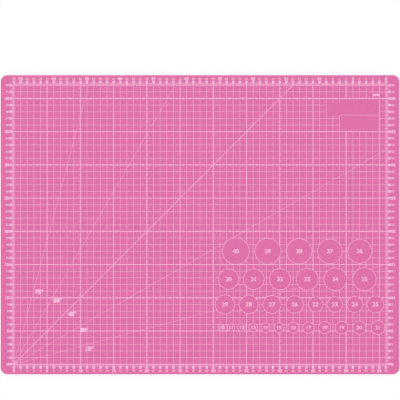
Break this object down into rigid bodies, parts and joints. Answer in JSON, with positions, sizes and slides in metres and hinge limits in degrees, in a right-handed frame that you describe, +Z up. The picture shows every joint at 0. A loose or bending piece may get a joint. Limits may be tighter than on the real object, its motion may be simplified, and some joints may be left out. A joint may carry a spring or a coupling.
{
  "type": "self healing cutting mat",
  "caption": "Flat laminated cutting mat with rounded corners: soft self healing skins over a hard core, with a printed centimetre ruling, angle guides and circle templates.",
  "frame": {"origin": "middle of the mat's underside", "axes": "+Z up out of the printed cutting face, +X along the long side towards the high end of the bottom scale, +Y along the short side away from the zero of the scales"},
  "size_m": [0.6, 0.45, 0.0031],
  "materials": {
    "skin": "pink PVC, fine matte grain",
    "cushion": "soft pink PVC, die-cut edge",
    "core": "hard white PVC, die-cut edge",
    "ink": "pale pink screen-printed ink"
  },
  "bodies": {
    "root": {"bottom_skin": "skin", "lower_cushion": "cushion", "core_sheet": "core", "upper_cushion": "cushion", "top_skin": "skin", "grid_print": "ink"}
  },
  "joints": []
}
